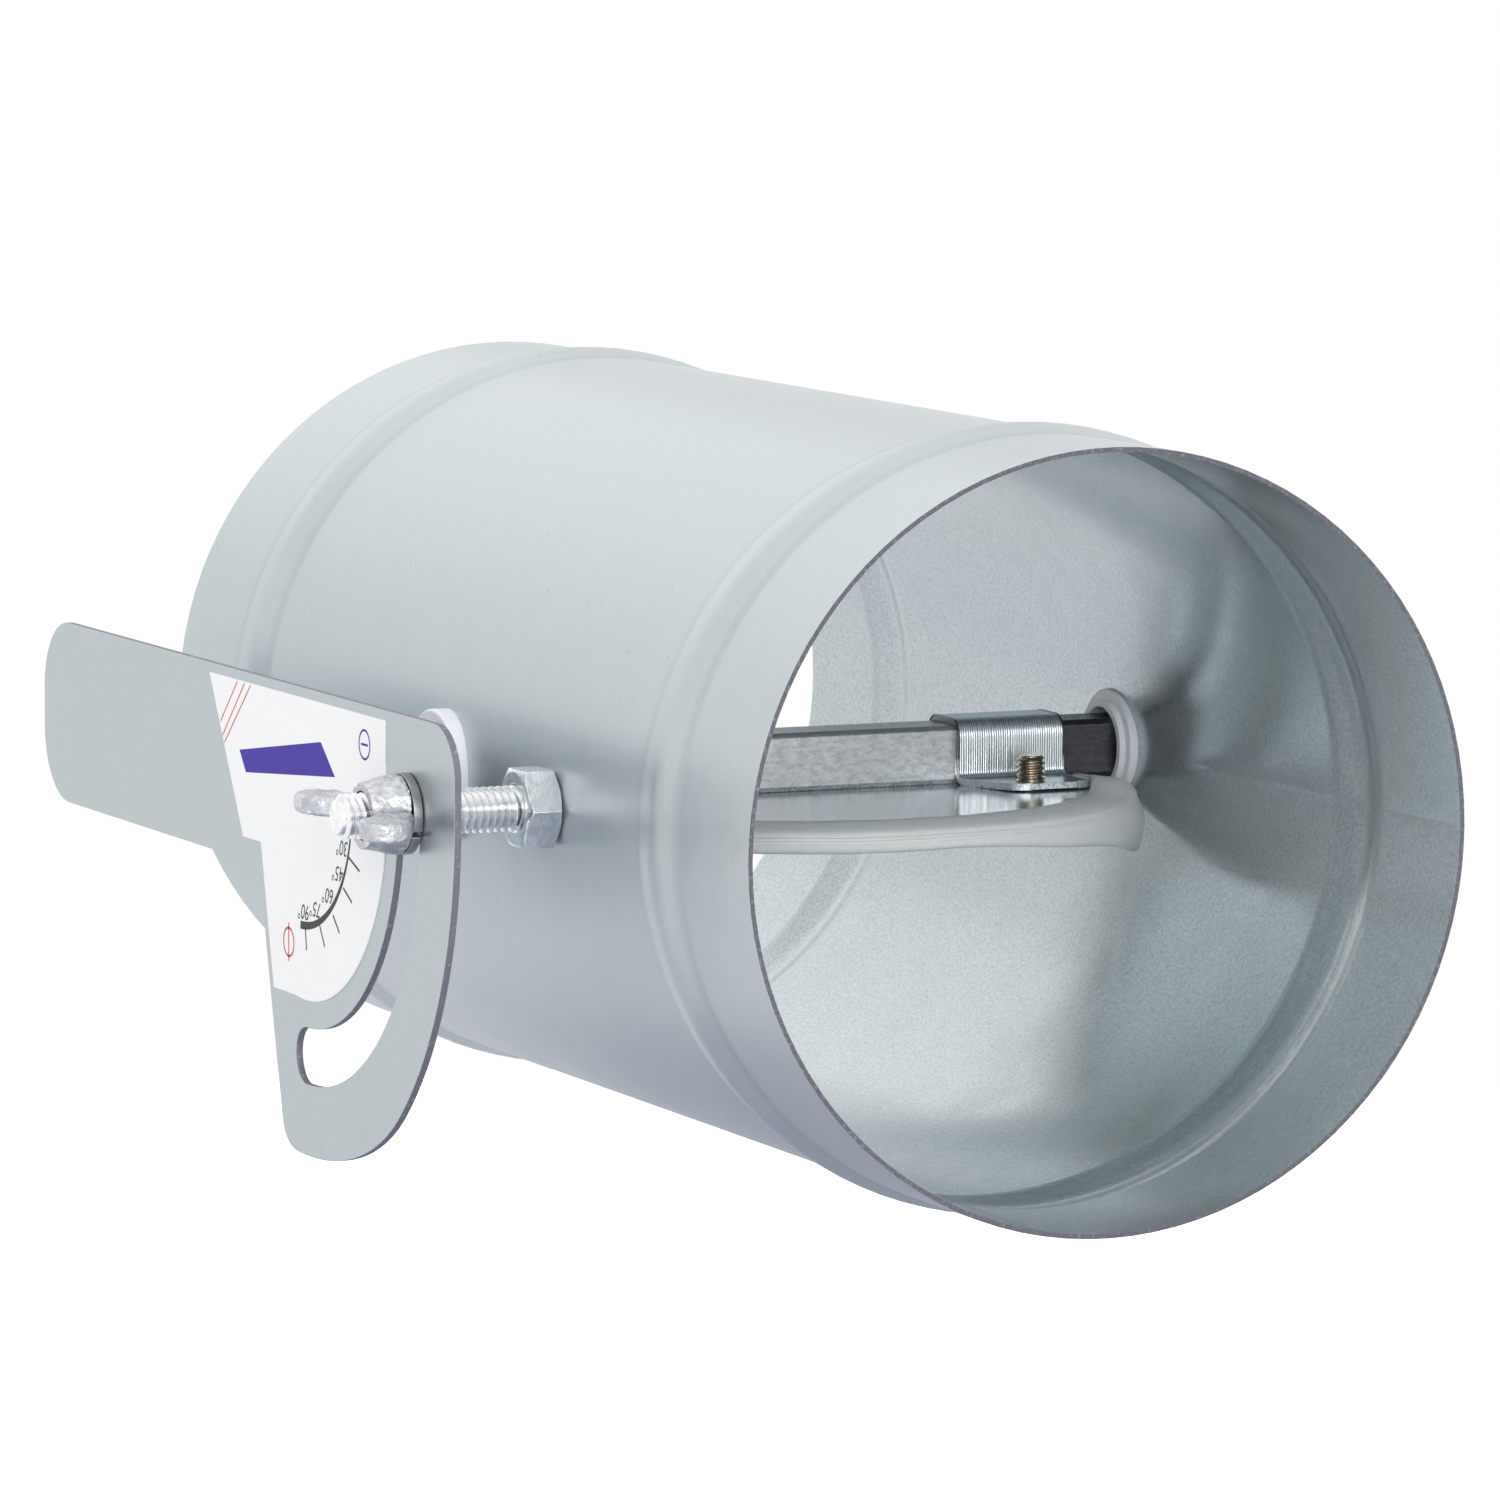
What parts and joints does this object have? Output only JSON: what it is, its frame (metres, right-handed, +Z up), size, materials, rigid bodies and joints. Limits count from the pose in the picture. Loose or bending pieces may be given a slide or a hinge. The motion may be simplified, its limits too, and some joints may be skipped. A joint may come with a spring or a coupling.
{
  "type": "volume control damper",
  "caption": "Round sheet-metal duct section with a sealed disc blade on a square shaft, turned by a slotted locking handle with a wing nut.",
  "frame": {"origin": "centre of the front mouth, in the plane of its rim", "axes": "+Y through the duct to the rear mouth, +Z up, X along the shaft with the handle on -X"},
  "size_m": [0.1355, 0.2025, 0.1031],
  "materials": {
    "galvanised": "satin",
    "nylon": "satin",
    "raw_steel": "rough",
    "spring_steel": "satin",
    "silicone": "satin",
    "zinc_plate": "bright",
    "cast_zinc": "bright",
    "label_film": "gloss"
  },
  "bodies": {
    "housing": {"duct_body": "galvanised", "bush_outer_right": "nylon", "bush_outer_left": "nylon", "bush_inner_right": "nylon", "bush_inner_left": "nylon", "clamp_bolt": "zinc_plate", "bolt_washer": "zinc_plate", "wall_nut": "zinc_plate"},
    "blade": {"square_shaft": "raw_steel", "shaft_ring_right": "spring_steel", "shaft_ring_left": "spring_steel", "blade_disc": "galvanised", "blade_seal": "silicone", "saddle_right": "zinc_plate", "saddle_left": "zinc_plate", "saddle_screw_1": "zinc_plate", "saddle_screw_2": "zinc_plate", "saddle_screw_3": "zinc_plate", "saddle_screw_4": "zinc_plate", "handle_plate": "galvanised", "scale_label": "label_film"},
    "washer": {"lock_washer": "spring_steel"},
    "wing": {"wing_nut": "cast_zinc"}
  },
  "joints": [
    {"name": "blade_turn", "type": "hinge", "parent": "housing", "child": "blade", "pos_m": [0, 0.1, 0], "axis": [-1, 0, 0], "range_deg": [0, 90]},
    {"name": "washer_travel", "type": "slide", "parent": "housing", "child": "washer", "axis": [-1, 0, 0], "range_m": [0, 0.00301]},
    {"name": "wing_turn", "type": "hinge", "parent": "washer", "child": "wing", "pos_m": [-0.075, 0.0635, 0], "axis": [-1, 0, 0], "range_deg": [0, 1080]}
  ],
  "couplings": [
    {"joint": "washer_travel", "follows": "wing_turn", "m_per_rad": 0.00015915}
  ]
}
